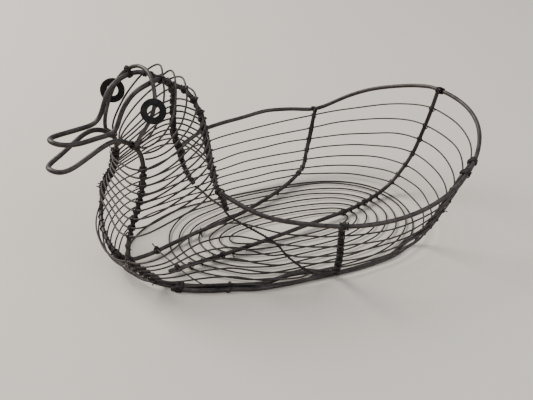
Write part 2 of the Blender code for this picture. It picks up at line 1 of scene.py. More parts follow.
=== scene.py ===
"""Looks of a duck-shaped wire produce basket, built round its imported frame.

The duck stands on z = 0 with its beak toward -x and its tail toward +x.  Its
far side is toward +y and its near side toward -y; most curves are drawn for the
far side and mirrored.  Every wire is round, with the rings drawn tight against
the ribs, binding wire wound over the crossings, clipped ends and dark iron.
Sizes are in millimetres until a mesh is made.
"""

import math
import zlib
from collections import namedtuple

import bpy
import numpy as np
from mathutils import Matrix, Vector


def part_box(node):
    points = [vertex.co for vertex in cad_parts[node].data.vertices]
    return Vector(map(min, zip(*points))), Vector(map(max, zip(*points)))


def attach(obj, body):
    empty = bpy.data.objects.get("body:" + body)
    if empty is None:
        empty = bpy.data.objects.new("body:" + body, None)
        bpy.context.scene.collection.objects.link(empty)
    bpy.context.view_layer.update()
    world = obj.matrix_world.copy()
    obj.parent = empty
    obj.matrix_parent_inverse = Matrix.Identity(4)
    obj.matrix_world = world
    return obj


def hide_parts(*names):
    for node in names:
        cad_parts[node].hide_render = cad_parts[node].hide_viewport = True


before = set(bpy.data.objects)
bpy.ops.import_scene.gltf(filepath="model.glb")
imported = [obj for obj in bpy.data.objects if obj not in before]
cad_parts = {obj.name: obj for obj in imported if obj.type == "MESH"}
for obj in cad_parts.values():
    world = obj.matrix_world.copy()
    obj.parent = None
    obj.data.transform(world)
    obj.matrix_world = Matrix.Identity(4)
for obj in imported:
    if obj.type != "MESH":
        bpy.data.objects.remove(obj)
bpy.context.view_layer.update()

MM = 0.001                       # metres in a millimetre

# ------------------------------------------------------------- driving sizes
HEAVY_R = 1.6                    # frame and rim wire
ARCH_R = 1.3                     # wire of the eye arch
RING_R = 0.55                    # ring wire
BIND_R = 0.4                     # binding wire
TIE_R = 0.8                      # two thin wires twisted together
TIE_STRAND_R = 0.46              # one of those two wires
GAP = 0.3                        # air kept between two wires that touch
RIB_OFF = HEAVY_R + RING_R + 0.1  # rib axis to ring axis: tied wires touch
BREAST_OFF = RIB_OFF + 0.9       # the same for the legs that come down the breast

EYE_OUTER_R, EYE_HOLE_R = 8.0, 3.7
EYE_THICK = 1.6
EYE_SPOT = (-111.0, 21.5, 135.0)  # far eye, before the neck turns
EYE_FACING = {"near": (-0.10, -0.85, 0.50), "far": (0.20, 0.90, -0.40)}

RIM_FRONT, RIM_TAIL = -70.0, 145.0
RIM_HALF = 91.5                  # half width of the rim oval
RIM_POWER, RIM_SKEW = 0.415, 0.04
RIM_LOW, RIM_SLOPE, RIM_DISH, RIM_TAIL_UP = 57.0, 0.8, 21.0, 9.5

BASE_FRONT, BASE_TAIL = -122.0, 109.0
BASE_HALF = 65.0
BASE_POWER, TAIL_POWER = 2.5, 3.3
BASE_Z = HEAVY_R * math.cos(math.radians(30))      # height of the wall's lower edge
BASE_RING_INSET = 2.4
BASE_RING_Z = RING_R * math.cos(math.radians(45))  # the ring rests on a flat

WALL_RINGS = 7
FLOOR_RINGS = 7
FLOOR_RING_STEP = 7.5
FLOOR_RING_BACK = 28.0           # the floor rings stop short of the breast by this much
FLOOR_RING_Z = 1.7
FLOOR_RIB_Z = 4.1
NECK_RINGS = 9
HEAD_STEP = 0.042                # share of the nape leg between two head rings

HEAD_TURN = 25.0                 # degrees the head looks toward the near side
TURN_FROM, TURN_TO = 45.0, 112.0  # heights between which the neck turns
BREAST_TURN = 0.19               # share of the turn the breast already has at the floor
TURN_X = -75.0                   # x of the upright line the neck turns about
TURN_FADE = (-40.0, -66.0)       # nothing turns behind the first x, all in front of the second

# Bends of the two frame wires: x, half spacing of the two legs, z.
# Each wire is a loop at the beak whose legs run back side by side.
UPPER_BENDS = [
    (-171.3, 0, 127.8), (-169.8, 4.2, 127.2), (-165.3, 7.4, 126.2), (-157, 9, 125),
    (-143, 9, 124), (-133, 9.5, 124.5), (-128, 9, 131), (-122, 10, 141), (-113, 10.5, 146.5),
    (-101, 10, 148), (-93, 6.5, 146), (-86, 4.5, 141), (-76, 7.5, 134), (-69, 12, 122),
    (-66.5, 16, 105), (-66, 22, 85), (-62.5, 31, 66),
]
LOWER_BENDS = [
    (-175, 0, 110.4), (-173.3, 4.6, 109.8), (-168.6, 7.8, 109.9), (-160, 9.2, 112.2),
    (-147, 10.5, 117), (-136, 11, 119), (-126, 11, 115), (-118, 12.5, 106),
    (-115.5, 16, 93), (-117, 23, 71), (-124.5, 33, 50),
]
# Far half of the arch that carries the eyes, from its top down: x, y, z
ARCH_BENDS = [
    (-102, 0, 155), (-102.5, 7, 153.7), (-105.5, 16, 147.3), (-110.5, 21.3, 136),
    (-117, 20.3, 125), (-121.2, 17.6, 117.5), (-122, 16.2, 112),
]
# Lower ends of the nape legs: x, y, z
FAR_FOOT = [(-66.3, 38.8, 57.5), (-64, 35.5, 47), (-60, 30.5, 38)]
NEAR_FOOT = [(-56, -32.5, 60.5), (-54, -34.8, 52)]
# Body's upper edge round the shoulder to the middle of the breast: x, y, z
SHOULDER_BENDS = [(-84, 47, 57), (-107, 54, 46), (-127, 45, 37), (-138, 24, 31), (-141, 0, 30)]
# Waves in the far side of the rim: x, rise, reach along x
RIM_WAVE = [(19, 2.0, 16), (66, -5.4, 18), (108, 1.8, 18)]
# Front legs at each head ring, x, y, z, then the ring's half width
HEAD_FRONTS = [
    (-122.6, 11.5, 112, 16.6), (-119.3, 12.1, 107.7, 19.2),
    (-117.3, 13, 103.3, 20.6), (-116.3, 14, 98.8, 20.8),
]
HEAD_RINGS = len(HEAD_FRONTS)

# Ways along the wall, as (share from tail to breast, rise from base to rim)
BREAST_RISES = (0.78, 0.52, 0.27)
NEAR_RUN = ((0.0, 0.78), (0.009, 0.54), (0.016, 0.34), (0.022, 0.20))  # share is a step back
FAR_SWEEP = ((0.90, 0.88, 1), (0.945, 0.76, 1), (0.985, 0.60, 1), (0.99, 0.42, -1))  # and side

# Lower frame wire along the near edge of the floor: x, inset from the edge, lift
NEAR_FLOOR = (
    (-105, 2.6, 1.9), (-98, 4.6, 0.9), (-88, 4.8, 0.5), (-66, 4.8, 0.5),
    (-48, 4.8, 0.5), (-32, 4.9, 0.9), (-12, 6.0, 3.0),
)
# Ribs that cross the floor: x, y, lift above FLOOR_RIB_Z
FAR_FLOOR = [
    (-120, -1, 2.0), (-111, 1, 0), (-101, 2.5, 0), (-70, 12, 0),
    (-46, 20, 0), (-20, 30.5, 0), (9, 46, 0), (28, 57.5, 1.2),
]
REAR_FLOOR = [
    (106, 22, 6.5), (99.5, 20.8, 2.4), (90, 17, 0.3), (79, 12, 0), (62, 5.4, 0),
    (30, -2, 0), (-5, -10, 0), (-45, -18, 0), (-95, -25.5, 0),
]
# Near rear rib: x and inward step under the rim, then x, inward step and lift at the base
UNDER_RIM = ((121, 2.6), (116, 2.8), (111.5, 3.6))
REAR_FOOT = (
    (82, 1.5, 2.9), (68, 0.2, 1.1), (50, 0, 0.3), (25, 0, 0.25), (0, 0, 0.25), (-25, 0, 0.25),
    (-50, 0, 0.25), (-72, 0, 0.25), (-86, 0, 0.25), (-94, 0, 0.25), (-101, 0, 0.25),
)
# Thin wire across the floor near the breast: x, y
FLOOR_TIE = ((-99, 9), (-96, -4), (-90, -22), (-84, -38), (-78, -50))


# ---------------------------------------------------------------- curve tools
def smooth_step(t):
    t = np.clip(t, 0.0, 1.0)
    return t * t * (3 - 2 * t)


def unit(vector):
    return vector / max(np.linalg.norm(vector), 1e-6)


def turned(points):
    """Turns the neck and head about an upright line, more the higher up."""
    points = np.asarray(points, float)
    part = smooth_step((points[:, 2] - TURN_FROM) / (TURN_TO - TURN_FROM))
    part = BREAST_TURN + (1 - BREAST_TURN) * part
    part = part * smooth_step((TURN_FADE[0] - points[:, 0]) / (TURN_FADE[0] - TURN_FADE[1]))
    angle = math.radians(HEAD_TURN) * part
    cos, sin = np.cos(angle), np.sin(angle)
    x, y = points[:, 0] - TURN_X, points[:, 1]
    return np.stack([TURN_X + x * cos - y * sin, x * sin + y * cos, points[:, 2]], -1)


def near(points):
    """The near-side copy of a far-side curve."""
    return np.asarray(points, float) * np.array([1.0, -1.0, 1.0])


def arc_of(points, closed=False):
    """Length along the curve at each point; a closed one ends with the full length."""
    loop = np.vstack([points, points[:1]]) if closed else points
    return np.concatenate([[0], np.cumsum(np.linalg.norm(np.diff(loop, axis=0), axis=1))])


def rows_at(query, stations, rows):
    """Rows of three numbers, known at the stations, read off at the query."""
    return np.stack([np.interp(query, stations, rows[:, k]) for k in range(3)], -1)


def even(points, count, closed=False):
    """The same curve, sampled at equal steps of length."""
    points = np.asarray(points, float)
    if closed:
        points = np.vstack([points, points[:1]])
    length = arc_of(points)
    return rows_at(np.linspace(0, length[-1], count, endpoint=not closed), length, points)


def resample(points, step, closed=False):
    """The curve at even steps of about this length."""
    return even(points, max(int(round(arc_of(points, closed)[-1] / step)), 8), closed)


def soften(points, rounds, closed=False):
    """Rounds off corners by averaging over a few neighbours."""
    points = np.array(points, float)
    for _ in range(rounds):
        if closed:
            beside = np.roll(points, 1, 0) + np.roll(points, -1, 0)
            points = 0.5 * points + 0.25 * beside
        else:
            beside = points[:-2] + points[2:]
            points[1:-1] = 0.5 * points[1:-1] + 0.25 * beside
    return points


def spline(knots, count):
    """A smooth curve through all the knots (natural cubic)."""
    knots = np.asarray(knots, float)
    n = len(knots)
    chords = np.linalg.norm(np.diff(knots, axis=0), axis=1)
    times = np.concatenate([[0], np.cumsum(chords ** 0.5)])
    span = np.diff(times)
    slope = np.diff(knots, axis=0) / span[:, None]
    matrix, right = np.zeros((n, n)), np.zeros((n, 3))
    matrix[0, 0] = matrix[-1, -1] = 1
    for i in range(1, n - 1):
        matrix[i, i - 1: i + 2] = span[i - 1], 2 * (span[i - 1] + span[i]), span[i]
        right[i] = 6 * (slope[i] - slope[i - 1])
    second = np.linalg.solve(matrix, right)
    query = np.linspace(0, times[-1], 30 * n)
    k = np.clip(np.searchsorted(times, query, "right") - 1, 0, n - 2)
    to_go, gone = (times[k + 1] - query)[:, None], (query - times[k])[:, None]
    h = span[k][:, None]
    points = (second[k] * to_go ** 3 + second[k + 1] * gone ** 3) / (6 * h)
    points += (knots[k] / h - second[k] * h / 6) * to_go
    points += (knots[k + 1] / h - second[k + 1] * h / 6) * gone
    return even(points, count)


def at(curve, share):
    """The point at a share of the curve's length, 0 to 1."""
    length = arc_of(curve)
    return rows_at(share * length[-1], length, curve)


def share_at_x(line, x):
    """Share of the half line at which it passes x."""
    return float(np.interp(-x, -line[:, 0], np.linspace(0, 1, len(line))))


def nearest_share(curve, point):
    nearest = int(np.argmin(np.linalg.norm(curve - np.asarray(point, float), axis=1)))
    return nearest / (len(curve) - 1)


def mirrored_ring(half, count):
    """Closed ring from its far half, turned with the body."""
    return even(turned(np.vstack([half, near(half)[-2:0:-1]])), count, closed=True)


# ------------------------------------------------------------ body of the duck
def rim_point(u):
    """Far side of the rim oval; u is -1 at the neck and 1 at the tail."""
    x = (RIM_FRONT + RIM_TAIL) / 2 + (RIM_TAIL - RIM_FRONT) / 2 * u
    y = RIM_HALF * np.maximum(1 - u * u, 0) ** RIM_POWER * (1 + RIM_SKEW * u)
    z = RIM_LOW + RIM_SLOPE * u + RIM_DISH * u ** 2 + RIM_TAIL_UP * u ** 3
    return np.stack([x, y, z], -1)


def base_half(inset=0.0, count=200, back=0.0):
    """Far half of the base oval from the tail to the breast, drawn in by inset
    all round and by back more at the breast."""
    u = np.cos(np.linspace(0, math.pi, 400))
    reach = np.where(u > 0, BASE_TAIL - inset, -BASE_FRONT - inset - back)
    power = np.where(u > 0, TAIL_POWER, BASE_POWER)
    y = (BASE_HALF - inset) * np.maximum(1 - np.abs(u) ** power, 0) ** 0.5
    return even(np.stack([u * reach, y, np.full_like(u, BASE_Z)], -1), count)


def outline_half():
    """Far half of the body's upper edge: the rim, then shoulder and breast."""
    rear = rim_point(np.cos(np.linspace(0, math.acos(-0.80), 60)))
    past_middle = near(SHOULDER_BENDS)[-2:-1]
    front = spline(np.vstack([rear[-13::6], SHOULDER_BENDS, past_middle]), 400)
    middle = int(np.argmin(np.abs(front[:, 1]) + 1e3 * (front[:, 0] > -130)))
    front = front[: middle + 1]
    front[-1, 1] = 0.0
    return even(np.vstack([rear[:-13], front]), 200)


BASE_LINE = base_half()
TOP_LINE = outline_half()
BREAST_SHARE = nearest_share(TOP_LINE, (-133, 38, 34))   # where the breast legs come down


def wall(share, rise):
    """A point of the far wall: share runs tail 0 to breast 1, rise base 0 to rim 1."""
    share, rise = np.asarray(share, float), np.asarray(rise, float)
    stations = np.linspace(0, 1, len(BASE_LINE))
    low = rows_at(share, stations, BASE_LINE)
    high = rows_at(share, stations, TOP_LINE)
    steep = 1.45 - 0.45 * smooth_step((share - 0.62) / 0.25)
    flat = np.sign(rise) * np.abs(rise) ** 0.9
    lift = np.sign(rise) * np.abs(rise) ** steep
    return low + (high - low) * np.stack([flat, flat, lift], -1)


def wall_inward(share, rise):
    """Unit vector from the far wall toward the inside of the basket."""
    d = 0.01
    along = wall(share + d, rise) - wall(share - d, rise)
    up = wall(share, rise + d) - wall(share, rise)
    normal = unit(np.cross(along, up))
    to_middle = np.array([0.0, 0.0, 70.0]) - wall(share, rise)
    return normal if normal @ to_middle > 0 else -normal


def inside_wall(share, rise, off):
    """Point this far inside the far wall."""
    return wall(share, rise) + wall_inward(share, min(rise, 0.97)) * off


def wall_ring(rise, count):
    share = np.linspace(0, 1, 160)
    return mirrored_ring(wall(share, np.full_like(share, rise)), count)


def floor_ring(inset, count):
    half = base_half(inset, 120, FLOOR_RING_BACK)
    return mirrored_ring(half + np.array([0, 0, FLOOR_RING_Z - BASE_Z]), count)


def base_ring(count):
    """The thin lowest ring, flat on the floor just inside the base line."""
    half = base_half(BASE_RING_INSET)
    return mirrored_ring(half + np.array([0, 0, BASE_RING_Z - BASE_Z]), count)


def wall_rib(top_x, base_x, top, low=0.02):
    """Far-side rib inside the rings, from x on the rim to x on the base, kept
    between the rises top and low."""
    share_top, share_low = share_at_x(TOP_LINE, top_x), share_at_x(BASE_LINE, base_x)
    out = []
    for rise in np.linspace(top, low, 12):
        share = share_low + (share_top - share_low) * rise
        ease = max(smooth_step((rise - 0.80) / 0.16), smooth_step((0.14 - rise) / 0.12))
        out.append(inside_wall(share, rise, RIB_OFF + 1.2 * ease))
    out = np.array(out)
    out[:, 2] = np.maximum(out[:, 2], FLOOR_RIB_Z)
    return out


# --------------------------------------------------------------- neck and head
def shoulder_rib(top_x, base_x, low):
    return wall_rib(top_x, base_x, top=0.80, low=low)[1::2]


def breast_run():
    """Lower end of a breast leg, inside the wall rings."""
    return np.array([inside_wall(BREAST_SHARE, rise, BREAST_OFF) for rise in BREAST_RISES])


def near_run():
    """Lower end of the near breast leg: it slants back as it comes down."""
    return np.array([inside_wall(BREAST_SHARE - b, rise, BREAST_OFF) for b, rise in NEAR_RUN])


def far_sweep():
    """Lower end of the far breast leg: it sweeps round the breast inside the
    wall rings, past the middle of the front."""
    return np.array([
        inside_wall(share, rise, BREAST_OFF) * np.array([1, side, 1])
        for share, rise, side in FAR_SWEEP
    ])


UPPER_LEG = spline(np.vstack([UPPER_BENDS, shoulder_rib(-60, -30, 0.3)]), 500)
LOWER_LEG = spline(np.vstack([LOWER_BENDS, breast_run()]), 500)
CROWN = nearest_share(UPPER_LEG, (-93, 6.5, 146))
NAPE_END = nearest_share(UPPER_LEG, (-64, 27, 74))
THROAT = nearest_share(LOWER_LEG, (-115.6, 15.6, 94.5))
BREAST_END = nearest_share(LOWER_LEG, (-125, 35, 52))


def neck_oval(back, front, half_width, back_bulge, front_bulge, front_off, open_front,
              count, near_wide):
    """A tilted oval round the neck that passes outside a pair of nape legs and
    a pair of front legs.  An open one stops beside the front legs.  near_wide
    makes the near side bulge more than the far side."""
    axis = np.array([back[0] - front[0], 0, back[2] - front[2]])
    reach = np.linalg.norm(axis)
    axis /= reach
    middle = (back + front) / 2 * np.array([1, 0, 1])

    def half_oval(leg_y, off, bulge):
        """Semi-axis, roundness and passing y of the half round one pair of legs."""
        away = unit(np.array([2 / reach, leg_y / half_width ** 2]))
        pass_x, pass_y = reach / 2 + off * away[0], leg_y + off * away[1]
        low, high = 1.6, 9.0
        for _ in range(40):
            power = (low + high) / 2
            size = (pass_x / (pass_x + bulge)) ** power + (pass_y / half_width) ** power
            low, high = (low, power) if size < 1 else (power, high)
        return pass_x + bulge, power, pass_y

    back_axis, back_power, _ = half_oval(back[1], RIB_OFF, back_bulge)
    front_axis, front_power, front_y = half_oval(front[1], front_off, front_bulge)
    angle = np.linspace(-math.pi, math.pi, 721)[:-1]
    cos, sin = np.cos(angle), np.sin(angle)
    power = np.where(cos > 0, back_power, front_power)
    x = np.where(cos > 0, back_axis, front_axis) * np.sign(cos) * np.abs(cos) ** (2 / power)
    y = half_width * np.sign(sin) * np.abs(sin) ** (2 / power)
    if open_front:
        keep = (x > 0) | (np.abs(y) > front_y)
        x, y, angle = x[keep], y[keep], angle[keep]
    y = y * (1 + (near_wide - 1) * (y < 0) * np.sin(angle) ** 2)
    points = middle + x[:, None] * axis + y[:, None] * np.array([0, 1, 0])
    return even(turned(points), count, closed=not open_front)


def nape_station(j):
    """Where the nape legs carry ring j, counted from the topmost head ring."""
    if j < HEAD_RINGS:
        return at(UPPER_LEG, CROWN + HEAD_STEP * j)
    start = CROWN + HEAD_STEP * HEAD_RINGS
    return at(UPPER_LEG, start + (NAPE_END - start) * (j - HEAD_RINGS) / (NECK_RINGS - 1))


def head_ring(i, count):
    *front, half_width = HEAD_FRONTS[i]
    return neck_oval(
        nape_station(i), np.array(front) + np.array([RIB_OFF + 0.5, 0, 0]), half_width,
        back_bulge=6.4 - 0.6 * i, front_bulge=2.0, front_off=0.0,
        open_front=True, count=count, near_wide=1.3 - 0.03 * i)


def neck_ring(j, count):
    back = nape_station(HEAD_RINGS + j)
    front = at(LOWER_LEG, THROAT + (BREAST_END - THROAT) * j / (NECK_RINGS - 1))
    return neck_oval(
        back, front, max(back[1], front[1]) + RIB_OFF + 4.0 + 0.5 * j,
        back_bulge=3.6, front_bulge=3.8, front_off=RIB_OFF * (1.18 if j in (1, 2, 3) else 1.36),
        open_front=False, count=count, near_wide=1.18 - 0.04 * min(j, 4))


# ------------------------------------------------------------ long frame wires
def raised(table):
    """Lifts a table of floor points to the height of the floor ribs."""
    return np.array(table) + np.array([0, 0, FLOOR_RIB_Z])


def rim_end(leg):
    """Where one end of the rim lies against the outside of a nape leg."""
    return turned([leg])[0] + np.array([-1.0, 3.9 * np.sign(leg[1]), 1.0])


def rim_wire(count):
    half = rim_point(np.cos(np.linspace(0, math.acos(-0.84), 50)))
    leg = np.array(UPPER_BENDS[-1], float)
    bent = half[45:4:-2].copy()
    for x, rise, reach in RIM_WAVE:
        bent[:, 2] += rise * np.exp(-((bent[:, 0] - x) / reach) ** 2)
    knots = np.vstack([[rim_end(leg)], bent, near(half)[::5], [rim_end(leg * [1, -1, 1])]])
    return even(spline(knots, 900), count)


def upper_frame(count):
    far = np.vstack([turned(UPPER_BENDS), FAR_FOOT])
    close = np.vstack([turned(near(UPPER_BENDS)), NEAR_FOOT])
    return even(spline(np.vstack([far[::-1], close[1:]]), 1500), count)


def shoulder_tie(count):
    """Thin twisted wire from the far foot of the frame across to the near foot
    and on down the near wall."""
    under = HEAVY_R + TIE_R + GAP + 0.3
    far, close = np.array(FAR_FOOT[-1]), np.array(NEAR_FOOT[-1])
    bridge = [
        far + [1, 0.5, -under], far + [2.5, -8, -1], (far + close) / 2 + [1, 0, -2.5],
        close + [0.5, 6, -under], close + [1.5, -2.5, -under - 0.5],
    ]
    rib = turned(near(shoulder_rib(-46, 8, 0.16)))
    return spline(np.vstack([bridge, rib[rib[:, 2] < 44]]), count)


def lower_frame(count):
    near_floor = []
    for x, inset, lift in NEAR_FLOOR:
        edge = base_half(inset)
        near_floor.append((*at(edge, share_at_x(edge, x))[:2], BASE_Z + lift))
    far_wall = wall_rib(65, 39, top=0.94)[::-1]
    near_wall = wall_rib(9, 15, top=1.0)[::-1]
    far = np.vstack([LOWER_BENDS, far_sweep(), raised(FAR_FLOOR), far_wall[3::2]])
    close = np.vstack([LOWER_BENDS, near_run(), near_floor, near_wall[1::2]])
    return even(spline(np.vstack([turned(far)[::-1], turned(near(close))[1:]]), 2000), count)


def rear_rib_far(count):
    down = wall_rib(143.5, 104, top=1.0)
    return even(spline(np.vstack([down[0:8:2], raised(REAR_FLOOR)]), 900), count)


def rear_rib_near(count):
    """Forward under the rim, down the near wall, then forward along the lower
    edge of the basket to the breast."""
    drop = np.array([0, 0, 2 * HEAVY_R + GAP])
    under = [inside_wall(share_at_x(TOP_LINE, x), 1.0, inward) - drop for x, inward in UNDER_RIM]
    rib = wall_rib(105, 87, top=1.0, low=0.16)[2:]
    foot = [
        at(BASE_LINE, share_at_x(BASE_LINE, x)) + np.array([0, -inward, lift])
        for x, inward, lift in REAR_FOOT
    ]
    return even(turned(near(spline(np.vstack([under, rib, foot]), 900))), count)


def floor_tie(count):
    z = FLOOR_RIB_Z + HEAVY_R + RING_R + 0.05
    return spline([(x, y, z) for x, y in FLOOR_TIE], count)


def arch_wire(count):
    half = np.array(ARCH_BENDS, float)
    return even(turned(spline(np.vstack([half[::-1], near(half)[1:]]), 900)), count)


def eye_seat(side):
    """Centre and outward axis of one eye washer, lying flat on the arch."""
    arch = arch_wire(400)
    spot = turned(near([EYE_SPOT]) if side == "near" else [EYE_SPOT])[0]
    i = int(np.argmin(np.linalg.norm(arch - spot, axis=1)))
    along = unit(arch[i + 6] - arch[i - 6])
    out = np.array(EYE_FACING[side], float)
    out = unit(out - along * (out @ along))
    return arch[i] + out * (ARCH_R + 2 * GAP + EYE_THICK / 2), out


# ------------------------------------------------------ hand-bent centre lines
HEAVY_STEP, RING_STEP = 1.1, 1.5     # between the cross-sections of a tube


def rng_for(name):
    """Random numbers that depend only on the name."""
    return np.random.default_rng(zlib.crc32(name.encode()))


def lean(points):
    """Slow unevenness that the whole hand-bent basket shares, under a millimetre."""
    points = np.asarray(points, float)
    x, y, z = points.T
    hold = smooth_step((z - 4) / 40.0)
    dx = 0.6 * np.sin(y / 31.0 + 1.1) * np.sin(z / 23.0 + 0.4)
    dy = 0.7 * np.sin(x / 37.0 + 0.3) * np.cos(z / 29.0)
    dz = 0.6 * np.sin(x / 33.0 + 2.0) * np.cos(y / 41.0 + 0.5)
    return points + np.stack([dx * hold, dy * hold, dz * hold], -1)


def waver(points, seed, size, wave, closed=True):
    """Small unevenness of one wire, different for each, smooth along it."""
    rng = rng_for(seed)
    length = arc_of(points, closed)
    total = length[-1]
    length = length[: len(points)]
    out = np.array(points, float)
    for axis in range(3):
        for order in range(1, 5):
            turns = total / wave / 2 * order
            if closed:
                turns = max(1, round(turns))
            swing = size / order * rng.normal() * 0.7
            phase = rng.uniform(0, 6.28)
            out[:, axis] += swing * np.sin(2 * math.pi * turns * length / total + phase)
    return out


def heavy_lines():
    curves = {                       # curve, step along it, rounds of softening
        "rim_wire": (rim_wire(420), 1.1, 4),
        "upper_frame_wire": (upper_frame(700), 1.0, 6),
        "lower_frame_wire": (lower_frame(900), 1.0, 6),
        "rear_rib_far": (rear_rib_far(280), 1.1, 4),
        "rear_rib_near": (rear_rib_near(320), 1.1, 3),
        "eye_arch": (arch_wire(140), 0.9, 0),
    }
    out = {
        name: lean(soften(resample(curve, step), rounds))
        for name, (curve, step, rounds) in curves.items()
    }
    # the near end is cut off level with the rim
    out["lower_frame_wire"] = out["lower_frame_wire"][:-3]
    return out


def ring_lines():
    out = {}
    for k in range(1, WALL_RINGS + 1):
        ring = soften(wall_ring(k / (WALL_RINGS + 1), 460), 8, True)
        out[f"wall_ring_{k}"] = waver(lean(ring), f"wall{k}", size=0.55, wave=70.0)
    base = base_ring(560)
    base[:, 2] = RING_R
    out["base_ring"] = base
    for k in range(1, FLOOR_RINGS + 1):
        ring = soften(floor_ring(FLOOR_RING_STEP * k, 320), 6, True)
        ring = waver(ring, f"floor{k}", size=0.4, wave=60.0)
        ring[:, 2] = FLOOR_RING_Z + 0.3 * (ring[:, 2] - FLOOR_RING_Z)
        out[f"floor_ring_{k}"] = ring
    for k in range(NECK_RINGS):
        ring = lean(soften(neck_ring(k, 240), 4, True))
        out[f"neck_ring_{k + 1}"] = waver(ring, f"neck{k}", size=0.4, wave=45.0)
    for k in range(HEAD_RINGS):
        ring = lean(soften(head_ring(k, 170), 4))
        out[f"head_ring_{k + 1}"] = waver(ring, f"head{k}", size=0.3, wave=40.0, closed=False)
    return out


def is_closed(ring_name):
    """The head rings are open at the front; all others are closed."""
    return not ring_name.startswith("head")


def crossings(leg, ring, closed, reach):
    """Places where a ring passes a leg: (index on leg, index on ring, distance)."""
    gap = np.linalg.norm(leg[:, None] - ring[None], axis=2)
    low = gap.min(axis=1)
    count = len(ring)
    found = []
    for i in range(len(leg)):
        around = low[max(0, i - 5): i + 6]
        if low[i] > reach or low[i] > around.min() or (found and i - found[-1][0] < 6):
            continue
        k = int(gap[i].argmin())
        if not closed and (k < 3 or k > count - 4):
            continue
        along = leg[min(i + 1, len(leg) - 1)] - leg[max(i - 1, 0)]
        run = ring[(k + 2) % count] - ring[(k - 2) % count]
        cosine = abs(along @ run) / (np.linalg.norm(along) * np.linalg.norm(run) + 1e-9)
        if cosine < 0.86:
            found.append((i, k, float(low[i])))
    return found


def cinch(ring, leg, closed, aim, reach, spread):
    """Draws the ring in, or lets it out, so that it lies at the distance aim
    from the leg wherever it passes it."""
    ring = ring.copy()
    for i, k, distance in crossings(leg, ring, closed, reach):
        way = unit(ring[k] - leg[i])
        length = arc_of(ring, closed)
        away = np.abs(length[: len(ring)] - length[k])
        if closed:
            away = np.minimum(away, length[-1] - away)
        ring += ((aim - distance) * np.exp(-(away / spread) ** 2))[:, None] * way
    return ring


def longest_run(line, keep):
    """The longest unbroken stretch of a line where keep is true."""
    best, start = (0, 0), None
    for i, flag in enumerate(list(keep) + [False]):
        if flag and start is None:
            start = i
        if not flag and start is not None:
            if i - start > best[1] - best[0]:
                best = (start, i)
            start = None
    return line[best[0]: best[1]]


# --------------------------------------------------------------- binding wire
Mark = namedtuple("Mark", "place out distance")   # a ring tied at this length of a leg


def tangents(points, closed=False):
    if closed:
        along = np.roll(points, -1, 0) - np.roll(points, 1, 0)
    else:
        along = np.gradient(points, axis=0)
    return along / np.linalg.norm(along, axis=1)[:, None]


class Leg:
    """A wire that others are bound to; places on it are lengths from its start."""

    def __init__(self, points):
        self.points = points
        self.length = arc_of(points)
        self.tangents = tangents(points)

    def frame(self, place, out):
        """Point and tangent at this place, with out made square to the tangent."""
        place = min(max(place, 0.02), self.length[-1] - 0.02)
        centre = rows_at(place, self.length, self.points)
        along = unit(rows_at(place, self.length, self.tangents))
        return centre, along, unit(out - along * (out @ along))

    def around(self, place, out, angle, radius):
        """Point off the axis by radius, turned by angle from out."""
        centre, along, out = self.frame(place, out)
        side = np.cross(along, out)
        return centre + radius * (math.cos(angle) * out + math.sin(angle) * side)


def hull_radius(angle, low, far, r_far):
    """Distance from the leg's axis to a wire stretched tight round the leg and a
    second wire that lies at angle 0: low is the leg's wrap radius, far the
    distance to the second wire and r_far its wrap radius."""
    angle = abs((angle + math.pi) % (2 * math.pi) - math.pi)
    meet = math.acos(min(max((low - r_far) / max(far, 1e-6), -0.95), 0.95))
    touch = math.atan2(r_far * math.sin(meet), far + r_far * math.cos(meet))
    if angle >= meet:
        return low
    if angle >= touch:
        return low / math.cos(meet - angle)
    half_chord = math.sqrt(max(r_far ** 2 - (far * math.sin(angle)) ** 2, 0.0))
    return far * math.cos(angle) + half_chord


def lashing(leg, place, out, far, r_far, slant, turns=1.0, r_leg=HEAVY_R, r_bind=BIND_R):
    """Wire drawn tight round the leg and the wire it holds.  slant is how far it
    climbs along the leg on each side, so two of opposite slant make a cross; with
    more than one turn it lays the turns side by side."""
    per_turn = 26
    low, other = r_leg + r_bind + 0.03, r_far + r_bind + 0.03
    coiled = turns != 1.0
    points = []
    for i in range(int(per_turn * turns) + coiled):
        turn = i / per_turn
        angle = 2 * math.pi * turn + (math.pi if coiled else 0)
        shift = slant * math.sin(angle)
        if coiled:
            shift += (turn - turns / 2) * r_bind * 2.1
        radius = hull_radius(angle, low, far, other)
        points.append(leg.around(place + shift, out, angle, radius))
    return np.array(points)


def runner(leg, marks, hand, r_bind):
    """Binding wire that travels along the leg from one ring to the next; it winds
    by the sign of hand, or only sways a little where hand is 0."""
    sway = 0 if hand else 0.35
    points = []
    for start, end in zip(marks[:-1], marks[1:]):
        span = end.place - start.place
        steps = max(int(span / 0.45), 6)
        turns = max(1, round(span / 6.0))
        for i in range(steps + (end is marks[-1])):
            f = i / steps
            out = (1 - f) * start.out + f * end.out
            angle = math.pi * 0.72 + 2 * math.pi * hand * f * turns + sway * math.sin(math.pi * f)
            points.append(leg.around(start.place + span * f, out, angle, HEAVY_R + r_bind * 0.95))
    return soften(points, 2)


def stub(start, way, length, rng):
    """Short clipped end of binding wire that stands off a knot."""
    way = unit(way)
    side = unit(np.cross(way, rng.normal(size=3)))
    f = np.linspace(0, 1, 7)[:, None]
    return start + length * f * way + 0.5 * length * f ** 2 * side


